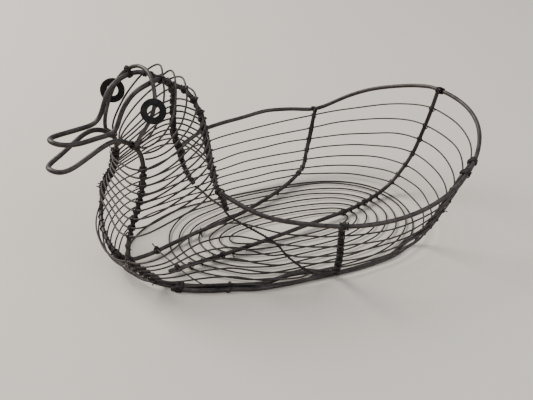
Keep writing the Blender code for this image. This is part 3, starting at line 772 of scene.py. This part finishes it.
def dense(leg, marks, start, end, pitch):
    """Close winding that covers the leg and climbs over each ring."""
    per_turn = 20
    places = np.array([m.place for m in marks])
    outs = np.array([m.out for m in marks])
    points, place, angle = [], start, 0.0
    while place < end:
        nearest = int(np.abs(places - place).argmin())
        over = math.exp(-((places[nearest] - place) / 1.1) ** 2)
        climb = hull_radius(angle, HEAVY_R + BIND_R, marks[nearest].distance, RING_R + BIND_R)
        radius = HEAVY_R + BIND_R + 0.05 + 0.25 * math.sin(angle * 0.23 + 1.0) ** 2
        radius += over * (climb - HEAVY_R - BIND_R)
        shift = 0.35 * math.sin(angle * 0.37)
        points.append(leg.around(place + shift, rows_at(place, places, outs), angle, radius))
        angle += 2 * math.pi / per_turn
        place += pitch / per_turn
    return soften(points, 1)


def twined(leg, marks, half_pitch, strand):
    """Two thin wires twisted together, opening to pass either side of a ring."""
    end = leg.length[-1]
    places = [0.0] + [m.place for m in marks] + [end]
    outs = np.array([marks[0].out] + [m.out for m in marks] + [marks[-1].out])
    halves = [0]                     # half turns made by each place
    for a, b in zip(places[:-1], places[1:]):
        halves.append(halves[-1] + max(1, round((b - a) / half_pitch)))
    lines = []
    for start in (0.0, math.pi):
        points = []
        for place in np.arange(0, end, 0.3):
            angle = start + math.pi * float(np.interp(place, places, halves))
            gap = min([abs(place - m.place) for m in marks] + [9.0])
            radius = strand * 1.02 + (RING_R + 0.02) * math.exp(-(gap / 0.9) ** 2)
            points.append(leg.around(place, rows_at(place, places, outs), angle, radius))
        lines.append(soften(points, 1))
    return lines


def hold(line, other, r_other, turns, slants=(), spot=None):
    """Lashing where another wire lies against a heavy one, nearest to spot if
    given: close turns, then crossed ones."""
    gap = np.linalg.norm(line[:, None] - other[None], axis=2)
    if spot is not None:
        gap = gap + 0.6 * np.linalg.norm(line - np.asarray(spot, float), axis=1)[:, None]
    i, k = np.unravel_index(int(gap.argmin()), gap.shape)
    leg = Leg(line)
    place, way = leg.length[i], other[k] - line[i]
    far = float(np.linalg.norm(way))
    out = [(lashing(leg, place, way / far, far, r_other, 0.0, turns), BIND_R, False)]
    for slant in slants:
        loop = lashing(leg, place, way / far, far + 0.3, r_other + 0.3, slant,
                       r_leg=HEAVY_R + 0.25)
        out.append((loop, BIND_R, True))
    return out


# --------------------------------------------------------------------- meshes
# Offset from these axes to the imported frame's, found from its base ring.
base_points = base_ring(48)
node_low, node_high = [np.array(v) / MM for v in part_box("base_ring")]
SLIDE = (node_low + node_high) / 2 - (base_points.min(axis=0) + base_points.max(axis=0)) / 2
SLIDE[2] = 0.0


def frames_along(points, closed):
    """Tangent and two square directions at each point, twisting as little as can be."""
    tangent = tangents(points, closed)
    first = np.array([0, 0, 1.0]) - tangent[0] * tangent[0][2]
    if np.linalg.norm(first) < 0.2:
        first = np.array([1.0, 0, 0]) - tangent[0] * tangent[0][0]
    normals = [unit(first)]
    for along in tangent[1:]:
        normals.append(unit(normals[-1] - along * (normals[-1] @ along)))
    normals = np.array(normals)
    if closed:
        # spread the twist left at the seam over the whole ring
        last = unit(normals[-1] - tangent[0] * (normals[-1] @ tangent[0]))
        slip = math.atan2(float(np.cross(last, normals[0]) @ tangent[0]), float(last @ normals[0]))
        angle = (slip * np.arange(len(points)) / len(points))[:, None]
        normals = np.cos(angle) * normals + np.sin(angle) * np.cross(tangent, normals)
    return tangent, normals, np.cross(tangent, normals)


def grid_quads(rows, sides, wrap):
    """Faces between rows of points that close on themselves; wrap joins the last
    row to the first."""
    i = np.arange(rows if wrap else rows - 1)[:, None]
    k = np.arange(sides)[None]
    j, l = (i + 1) % rows, (k + 1) % sides
    corners = [i * sides + k, i * sides + l, j * sides + l, j * sides + k]
    return np.stack(corners, -1).reshape(-1, 4).tolist()


def tube_arrays(seed, points, radius, sides, closed):
    """Points, faces and uv of one round wire; uv runs (length, turn)."""
    rng = rng_for(seed)
    tangent, normal, binormal = frames_along(points, closed)
    length = arc_of(points, closed)[: len(points)]
    long_wave = np.sin(length / 7.3 + rng.uniform(0, 6)) * 0.6
    short_wave = np.sin(length / 2.9 + rng.uniform(0, 6)) * 0.4
    radii = radius * (1 + 0.02 * (long_wave + short_wave))
    if not closed:
        # filed ends: two narrower cross-sections past each end
        steps = np.array([[0.22], [0.12]]) * radius
        points = np.vstack([
            points[0] - tangent[0] * steps, points, points[-1] + tangent[-1] * steps[::-1]])
        normal = np.pad(normal, ((2, 2), (0, 0)), mode="edge")
        binormal = np.pad(binormal, ((2, 2), (0, 0)), mode="edge")
        radii = np.concatenate([[radius * 0.62, radius * 0.9], radii,
                                [radius * 0.9, radius * 0.62]])
        length = np.pad(length, 2, mode="edge")
    angle = (2 * math.pi * np.arange(sides) / sides)[None, :, None]
    circle = np.cos(angle) * normal[:, None] + np.sin(angle) * binormal[:, None]
    verts = (points[:, None] + radii[:, None, None] * circle).reshape(-1, 3)

    count = len(points)
    faces = grid_quads(count, sides, closed)
    step = float(length[-1]) / max(len(length) - 1, 1)
    row, col = np.divmod(np.arange(len(faces)), sides)
    u0, u1 = row * step / 10.0, (row + 1) * step / 10.0
    v0, v1 = col / sides, (col + 1) / sides
    uvs = np.stack([u0, v0, u0, v1, u1, v1, u1, v0], -1).reshape(-1, 2)
    if not closed:
        faces.append(list(reversed(range(sides))))
        faces.append(list(range((count - 1) * sides, count * sides)))
        uvs = np.vstack([uvs, np.zeros((2 * sides, 2))])
    return verts, faces, uvs


def smooth_object(name, verts, faces, material, uvs=None):
    """Linked object from points in millimetres."""
    mesh = bpy.data.meshes.new(name)
    mesh.from_pydata(((np.vstack(verts) + SLIDE) * MM).tolist(), [], faces)
    layer = mesh.uv_layers.new(name="UVMap")
    if uvs is not None:
        layer.data.foreach_set("uv", np.vstack(uvs).ravel())
    mesh.materials.append(material)
    mesh.shade_smooth()
    obj = bpy.data.objects.new(name, mesh)
    bpy.context.scene.collection.objects.link(obj)
    return obj


def register(obj, slot, *nodes):
    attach(obj, "root")
    if nodes:
        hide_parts(*nodes)


def wires(name, lines, slot, *nodes):
    """Round wires in one mesh: lines is [(points, radius, closed)]."""
    sides, material = LOOKS[slot]
    verts, faces, uvs, base = [], [], [], 0
    for number, (points, radius, closed) in enumerate(lines):
        points = np.array(points, float)
        points[:, 2] = np.maximum(points[:, 2], radius + 0.02)
        tube = tube_arrays(f"{name}{number}", points, radius, sides, closed)
        verts.append(tube[0])
        faces += [[i + base for i in face] for face in tube[1]]
        uvs.append(tube[2])
        base += len(tube[0])
    register(smooth_object(name, verts, faces, material, uvs), slot, *nodes)


# ------------------------------------------------------------------- materials
# pale colour laid on the up-facing tops: part dust, part painted highlight
DUST_AND_HIGHLIGHT_COLOUR = (0.20, 0.185, 0.175)


def iron(name, dark, light, rust, rough, grain=1.0, dust_and_highlight=0.25):
    """Oxidised iron: mottled colour, drawn streaks, brown spots, and tops lightened partly by dust
    and partly by a painted highlight.
    rough is the range of roughness, grain scales the bumps, and the last argument sets how much
    the up-facing tops are lightened, as dust and painted highlight."""
    mat = bpy.data.materials.new(name)
    mat.use_nodes = True
    nodes, links = mat.node_tree.nodes, mat.node_tree.links
    bsdf = nodes["Principled BSDF"]

    def node(kind, inputs, **settings):
        """New node; each input is a socket to link or a value to set."""
        made = nodes.new(kind)
        for key, value in settings.items():
            setattr(made, key, value)
        for key, value in inputs.items():
            if isinstance(value, bpy.types.NodeSocket):
                links.new(value, made.inputs[key])
            else:
                made.inputs[key].default_value = value
        return made

    def noise(vector, scale, detail, roughness, distortion=0.0):
        return node("ShaderNodeTexNoise", {
            "Vector": vector, "Scale": scale, "Detail": detail,
            "Roughness": roughness, "Distortion": distortion}).outputs["Fac"]

    def ramp(value, low, high):
        return node("ShaderNodeMapRange", {
            "Value": value, "From Min": low, "From Max": high,
        }, interpolation_type="SMOOTHSTEP").outputs["Result"]

    def remap(value, low, high, to_low, to_high):
        return node("ShaderNodeMapRange", {
            "Value": value, "From Min": low, "From Max": high,
            "To Min": to_low, "To Max": to_high}).outputs["Result"]

    def calc(operation, *inputs):
        made = node("ShaderNodeMath", dict(enumerate(inputs)), operation=operation)
        return made.outputs[0]

    def scaled(value, by):
        return calc("MULTIPLY", value, by)

    def weighted(first, by, second, second_by):
        return calc("MULTIPLY_ADD", first, by, scaled(second, second_by))

    def mix(factor, below, above):
        """The colour below with the plain colour above laid over it."""
        if isinstance(below, tuple):
            below = (*below, 1)
        made = node("ShaderNodeMix", {0: factor, 6: below, 7: (*above, 1)}, data_type="RGBA")
        return made.outputs[2]

    def bump(height, strength, distance, **normal):
        return node("ShaderNodeBump", {
            "Height": height, "Strength": strength, "Distance": distance, **normal,
        }).outputs["Normal"]

    where = node("ShaderNodeTexCoord", {})
    place = where.outputs["Object"]
    run = node("ShaderNodeMapping", {"Vector": where.outputs["UV"], "Scale": (1.2, 9.0, 1.0)})
    cloud = noise(place, scale=55.0, detail=5.0, roughness=0.62)
    mottle = noise(place, scale=260.0, detail=4.0, roughness=0.65)
    streak = noise(run.outputs["Vector"], scale=3.0, detail=3.0, roughness=0.7)
    speck = noise(place, scale=900.0, detail=3.0, roughness=0.7)
    patch = noise(place, scale=120.0, detail=5.0, roughness=0.7, distortion=0.6)

    tone = weighted(cloud, 0.6, mottle, 0.4)
    colour = mix(ramp(tone, low=0.38, high=0.64), dark, light)
    colour = mix(scaled(ramp(patch, low=0.56, high=0.72), by=0.55), colour, rust)
    drawn = scaled(ramp(streak, low=0.45, high=0.8), by=0.30)
    colour = mix(drawn, colour, tuple(1.7 * c for c in light))
    # up-facing surfaces are lightened, partly as dust and partly as a painted highlight where
    # light from above falls on the tops
    normal = node("ShaderNodeNewGeometry", {}).outputs["Normal"]
    up = node("ShaderNodeSeparateXYZ", {0: normal}).outputs["Z"]
    top = calc("MULTIPLY", ramp(up, low=0.15, high=1.0), ramp(mottle, low=0.30, high=0.62))
    colour = mix(scaled(top, by=dust_and_highlight), colour, DUST_AND_HIGHLIGHT_COLOUR)
    links.new(colour, bsdf.inputs["Base Color"])

    roughness = remap(weighted(mottle, 0.7, streak, 0.3),
                      low=0.3, high=0.7, to_low=rough[0], to_high=rough[1])
    links.new(roughness, bsdf.inputs["Roughness"])
    metal = remap(patch, low=0.35, high=0.7, to_low=0.85, to_high=0.85 * 0.55)
    links.new(metal, bsdf.inputs["Metallic"])

    pits = bump(weighted(speck, 0.5, mottle, 1.0), strength=0.45 * grain, distance=0.00022)
    grooves = bump(streak, strength=0.25 * grain, distance=0.00012, Normal=pits)
    links.new(grooves, bsdf.inputs["Normal"])
    return mat


HEAVY_IRON = iron(
    "heavy_wire_iron", dark=(0.026, 0.021, 0.019), light=(0.070, 0.059, 0.054),
    rust=(0.085, 0.050, 0.034), rough=(0.36, 0.58))
# the arch's tops get more of the pale top colour, which is dust and painted highlight
ARCH_IRON = iron(
    "arch_wire_iron", dark=(0.034, 0.029, 0.027), light=(0.085, 0.076, 0.071),
    rust=(0.085, 0.055, 0.040), rough=(0.34, 0.55), dust_and_highlight=0.4)
RING_IRON = iron(
    "ring_wire_iron", dark=(0.024, 0.019, 0.017), light=(0.060, 0.050, 0.045),
    rust=(0.080, 0.048, 0.032), rough=(0.40, 0.62))
BIND_IRON = iron(
    "binding_wire_iron", dark=(0.017, 0.014, 0.013), light=(0.046, 0.038, 0.034),
    rust=(0.070, 0.040, 0.026), rough=(0.42, 0.66), dust_and_highlight=0.15)
WASHER_IRON = iron(
    "eye_washer_iron", dark=(0.009, 0.008, 0.0075), light=(0.022, 0.019, 0.018),
    rust=(0.040, 0.026, 0.019), rough=(0.45, 0.70), grain=1.8, dust_and_highlight=0.08)

LOOKS = {                            # slot: sides of the tube, material
    "heavy_wire": (16, HEAVY_IRON),
    "arch_wire": (16, ARCH_IRON),
    "ring_wire": (10, RING_IRON),
    "binding_wire": (8, BIND_IRON),
    "tie_wire": (8, BIND_IRON),
}

# ------------------------------------------------------- legs and rings of wire
heavy = heavy_lines()
rings = ring_lines()
rim, rear_far, rear_near = heavy["rim_wire"], heavy["rear_rib_far"], heavy["rear_rib_near"]
upper, lower = heavy["upper_frame_wire"], heavy["lower_frame_wire"]
upper_tip, lower_tip = int(np.argmin(upper[:, 0])), int(np.argmin(lower[:, 0]))
up_far, up_near = upper[:upper_tip], upper[upper_tip:]
low_far, low_near = lower[:lower_tip], lower[lower_tip:]


def breast_part(line, low):
    """Stretch of the lower frame between the throat and this height."""
    return longest_run(line, (line[:, 2] < 115) & (line[:, 2] > low) & (line[:, 0] < -90))


LEGS = {name: Leg(points) for name, points in {
    "nape_far": longest_run(up_far, up_far[:, 0] > -97),
    "nape_near": longest_run(up_near, up_near[:, 0] > -97),
    "breast_far": breast_part(low_far, 9),
    "breast_near": breast_part(low_near, 7),
    "middle_far": longest_run(low_far, low_far[:, 0] > -60),
    "middle_near": longest_run(low_near, low_near[:, 0] > -70),
    "rear_far": rear_far,
    "rear_near": rear_near,
    "tie": lean(soften(resample(shoulder_tie(260), 0.8), 4)),
}.items()}
TOUCH = HEAVY_R + RING_R + 0.05
CINCH_REACH = {"rear_far": 7.5, "rear_near": 5.0, "tie": 4.5}   # 4.6 for the others


def tighten(name, ring):
    """Draws one wall, neck or head ring against the legs that it passes; the base ring is only
    kept from sinking below the floor.
    """
    for leg_name, leg in LEGS.items():
        if name == "base_ring" or (leg_name == "tie" and name.startswith(("neck", "head"))):
            continue
        ring = cinch(
            ring, leg.points, is_closed(name),
            aim=0.0 if leg_name == "tie" else TOUCH,
            reach=CINCH_REACH.get(leg_name, 4.6),
            spread=16.0 if leg_name == "rear_far" else 6.5)
    ring[:, 2] = np.maximum(ring[:, 2], RING_R)
    return ring


def marks_on(name, leg):
    """The rings tied to a leg, in order along it."""
    reach = 2.2 if name == "tie" else 3.4
    marks = []
    for ring_name, ring in rings.items():
        for i, k, distance in crossings(leg.points, ring, is_closed(ring_name), reach):
            way = ring[k] - leg.points[i] if distance > 0.3 else np.array([0.0, -1.0, 0.0])
            marks.append(Mark(float(leg.length[i]), unit(way), distance))
    marks.sort(key=lambda m: m.place)
    return [m for j, m in enumerate(marks) if j == 0 or m.place - marks[j - 1].place > 1.1]


rings = {
    name: ring if name.startswith("floor") else tighten(name, ring)
    for name, ring in rings.items()
}

for name, line in heavy.items():
    radius, slot = (ARCH_R, "arch_wire") if name == "eye_arch" else (HEAVY_R, "heavy_wire")
    wires(name + "_round", [(resample(line, HEAVY_STEP), radius, False)], slot, name)

for name, line in rings.items():
    closed = is_closed(name)
    line = soften(resample(line, RING_STEP, closed), 1, closed)
    radius = RING_R + (0.11 if name.startswith(("neck", "head")) else 0.06)
    wires(name + "_round", [(line, radius, closed)], "ring_wire", name)

floor_line = lean(resample(floor_tie(90), 1.0))
wires("floor_tie_round", [(floor_line, RING_R, False)], "ring_wire", "floor_tie")

MARKS = {name: marks_on(name, leg) for name, leg in LEGS.items()}

strands = twined(LEGS["tie"], MARKS["tie"], half_pitch=1.9, strand=TIE_STRAND_R)
wires("shoulder_tie_twist", [(line, TIE_STRAND_R, False) for line in strands],
      "tie_wire", "shoulder_tie")


# ------------------------------------------------------- binding along the legs
def knot_stub(leg, mark, rng):
    """Clipped end that sticks out beside a knot."""
    centre, along, out = leg.frame(mark.place + rng.uniform(-1, 1), mark.out)
    side = np.cross(along, out) * rng.choice([-1.0, 1.0])
    start = centre + out * (mark.distance + RING_R + 0.4) * 0.85 + side * 0.7
    way = out * 0.8 + side * 0.7 + along * rng.uniform(-0.6, 0.6)
    return stub(start, way, rng.uniform(1.4, 2.6), rng)


def leg_binding(name):
    """All the binding wire of one leg."""
    leg, marks, rng = LEGS[name], MARKS[name], rng_for(name)
    part, side = name.split("_")
    in_front = part in ("nape", "breast")
    thick = BIND_R * (1.25 if in_front else 1.0)
    lines = []
    for n, mark in enumerate(marks):
        slant = rng.uniform(0.9, 1.5)
        loop = lashing(leg, mark.place, mark.out, mark.distance, RING_R, slant, r_bind=thick)
        lines.append((loop, thick, True))
        if in_front or name == "middle_near" or n % 3 == 0:
            loop = lashing(leg, mark.place + rng.uniform(-0.2, 0.2), mark.out,
                           mark.distance + 0.05, RING_R + thick * 0.5, -slant * 0.9,
                           r_bind=thick)
            lines.append((loop, thick, True))
        if part == "breast" or (part in ("middle", "rear") and rng.uniform() < 0.3):
            lines.append((knot_stub(leg, mark, rng), BIND_R, False))

    end = leg.length[-1]
    if name == "middle_near":
        on_wall = [m for m in marks if np.interp(m.place, leg.length, leg.points[:, 2]) > 6]
        stop = min(on_wall[-1].place + 5, end - 1)
        cover = dense(leg, on_wall, on_wall[0].place - 3, stop, pitch=3.1)
        lines.append((cover, BIND_R, False))
    elif len(marks) > 1:
        hand = (1.0 if side == "far" else -1.0) if in_front else 0
        lines.append((runner(leg, marks, hand, thick), thick, False))
    if part == "nape":
        # close winding from the lowest ring to the foot of the leg
        if leg.points[0][2] < leg.points[-1][2]:
            start, stop = 0.6, marks[0].place - 0.5
        else:
            start, stop = marks[-1].place + 0.5, end - 0.6
        if stop - start > 2:
            lines.append((dense(leg, marks, start, stop, pitch=2.1), BIND_R, False))
    wires(name + "_lashed", lines, "binding_wire", f"{part}_binding_{side}")


for name in LEGS:
    if name != "tie":
        leg_binding(name)

# Where frame wires are lashed together: heavy wire, other wire, the other's
# radius, close turns, slants of the crossed turns, place where needed.
middle_near, middle_far = LEGS["middle_near"].points, LEGS["middle_far"].points
arch = heavy["eye_arch"]
HOLDS = [
    (rim, middle_near, HEAVY_R, 3.0, (3.2, -3.0)),
    (rim, middle_far, HEAVY_R, 3.0, (1.8,)),
    (rim, rear_far, HEAVY_R, 4.0, (1.6, -1.8)),
    (rim, rear_near, HEAVY_R, 4.0, (2.2,), (119, -65, 74)),
    (rim, rear_near, HEAVY_R, 3.0, (2.6, -2.2), (110, -73, 69)),
    (rear_near, low_near, HEAVY_R, 5.0, (2.4, -2.2), (-91, -42, 2)),
    (rear_near, low_near, HEAVY_R, 2.0, (2.8,), (-60, -55, 2)),
    (rear_far, floor_line, RING_R, 3.0, (1.6, -1.4), (-89, -24, 6)),
    (low_far, floor_line, RING_R, 3.0, (1.5, -1.5), (-98, 4, 6)),
    (rim, up_far, HEAVY_R, 4.0, (1.6,)),
    (rim, up_near, HEAVY_R, 4.0, (1.6, -1.6)),
    (low_near[low_near[:, 2] < 117], arch, ARCH_R, 4.0, (1.2,)),
    (low_far[low_far[:, 2] < 117], arch, ARCH_R, 4.0),
    (up_far[up_far[:, 0] < -95], arch, ARCH_R, 3.0, (1.0,)),
]
wires("frame_lashings", [line for row in HOLDS for line in hold(*row)], "binding_wire")

# --------------------------------------------------------------- washer eyes
EYE_TOP = EYE_THICK / 2
# Cross-section from the outer edge over the face and back underneath: radius, height
EYE_PROFILE = [
    (EYE_OUTER_R, -EYE_TOP + 0.35), (EYE_OUTER_R, EYE_TOP - 0.45),
    (EYE_OUTER_R - 0.12, EYE_TOP - 0.16), (EYE_OUTER_R - 0.45, EYE_TOP - 0.02),
    (EYE_OUTER_R - 1.6, EYE_TOP + 0.02), (EYE_HOLE_R + 1.3, EYE_TOP + 0.02),
    (EYE_HOLE_R + 0.35, EYE_TOP - 0.02), (EYE_HOLE_R + 0.06, EYE_TOP - 0.20),
    (EYE_HOLE_R, EYE_TOP - 0.5), (EYE_HOLE_R + 0.02, -EYE_TOP + 0.30),
    (EYE_HOLE_R + 0.2, -EYE_TOP + 0.06), (EYE_HOLE_R + 1.2, -EYE_TOP),
    (EYE_OUTER_R - 1.4, -EYE_TOP), (EYE_OUTER_R - 0.4, -EYE_TOP + 0.04),
    (EYE_OUTER_R - 0.1, -EYE_TOP + 0.16),
]


def washer(side):
    """A flat washer: rolled outer edge, sharp hole edge, faint dish."""
    name = f"eye_washer_{side}_punched"
    rng = rng_for(name)
    centre, normal = eye_seat(side)
    centre = lean(centre[None])[0] - normal * (2 * GAP - 0.05)   # pressed onto the arch
    across = unit(np.cross(normal, [0, 0, 1.0]))
    sides = 96
    angle = 2 * math.pi * np.arange(sides)[:, None] / sides
    spokes = np.cos(angle) * across + np.sin(angle) * np.cross(normal, across)
    wobble = 1 + 0.004 * np.sin(3 * angle + rng.uniform(0, 6))
    wobble = wobble + 0.002 * np.sin(11 * angle + rng.uniform(0, 6))
    ripple = 0.03 * np.sin(2 * angle + 1)
    verts = []
    for radius, height in EYE_PROFILE:
        dish = 0.12 * (radius - EYE_HOLE_R) / (EYE_OUTER_R - EYE_HOLE_R)
        verts.append(centre + radius * wobble * spokes + normal * (height - dish + ripple))
    faces = grid_quads(len(EYE_PROFILE), sides, wrap=True)
    obj = smooth_object(name, verts, faces, WASHER_IRON)
    obj.data.validate()
    register(obj, "eye_washer", f"eye_washer_{side}")


for side in EYE_FACING:
    washer(side)


# ------------------------------------------------- stage, in metres and watts
def pale_floor(half=4):
    mesh = bpy.data.meshes.new("floor")
    corners = [(-half, -half, 0), (half, -half, 0), (half, half, 0), (-half, half, 0)]
    mesh.from_pydata(corners, [], [(0, 1, 2, 3)])
    floor = bpy.data.objects.new("floor", mesh)
    bpy.context.scene.collection.objects.link(floor)
    ground = bpy.data.materials.new("floor_pale")
    ground.use_nodes = True
    bsdf = ground.node_tree.nodes["Principled BSDF"]
    bsdf.inputs["Base Color"].default_value = (0.78, 0.71, 0.61, 1)
    bsdf.inputs["Roughness"].default_value = 0.85
    mesh.materials.append(ground)


def sky(colour, strength):
    world = bpy.context.scene.world or bpy.data.worlds.new("studio")
    bpy.context.scene.world = world
    world.use_nodes = True
    background = world.node_tree.nodes["Background"]
    background.inputs["Color"].default_value = colour
    background.inputs["Strength"].default_value = strength


def area_light(name, place, size, power, colour, aim=(0, 0, 0.05)):
    data = bpy.data.lights.new(name, "AREA")
    data.shape = "DISK"
    data.size = size
    data.energy = power
    data.color = colour
    obj = bpy.data.objects.new(name, data)
    obj.location = place
    obj.rotation_mode = "QUATERNION"
    obj.rotation_quaternion = (Vector(aim) - Vector(place)).to_track_quat("-Z", "Y")
    bpy.context.scene.collection.objects.link(obj)


def add_camera(target, azimuth, elevation, distance, lens):
    """Camera that looks at target, placed by its angles and distance, all in mm
    and degrees; azimuth 0 is straight toward -y."""
    around, up = math.radians(azimuth), math.radians(elevation)
    behind = np.array([
        math.sin(around) * math.cos(up), -math.cos(around) * math.cos(up), math.sin(up)])
    data = bpy.data.cameras.new("camera")
    data.sensor_width = 36.0
    data.lens = lens
    data.clip_start, data.clip_end = 0.01, 50.0
    camera = bpy.data.objects.new("camera", data)
    camera.location = tuple((np.array(target) + SLIDE + behind * distance) * MM)
    camera.rotation_mode = "QUATERNION"
    camera.rotation_quaternion = (-Vector(behind)).to_track_quat("-Z", "Y")
    bpy.context.scene.collection.objects.link(camera)
    bpy.context.scene.camera = camera


pale_floor()
sky(colour=(0.86, 0.91, 1.0, 1), strength=0.55)
area_light("window", place=(-0.9, 0.9, 1.3), size=1.1, power=33, colour=(1.0, 0.98, 0.95))
area_light("fill", place=(0.7, -1.2, 1.0), size=1.4, power=8, colour=(0.95, 0.97, 1.0))
add_camera(target=(-12.0, 0.0, 31.2), azimuth=-20.0, elevation=32.0, distance=599.0,
           lens=54.033771)
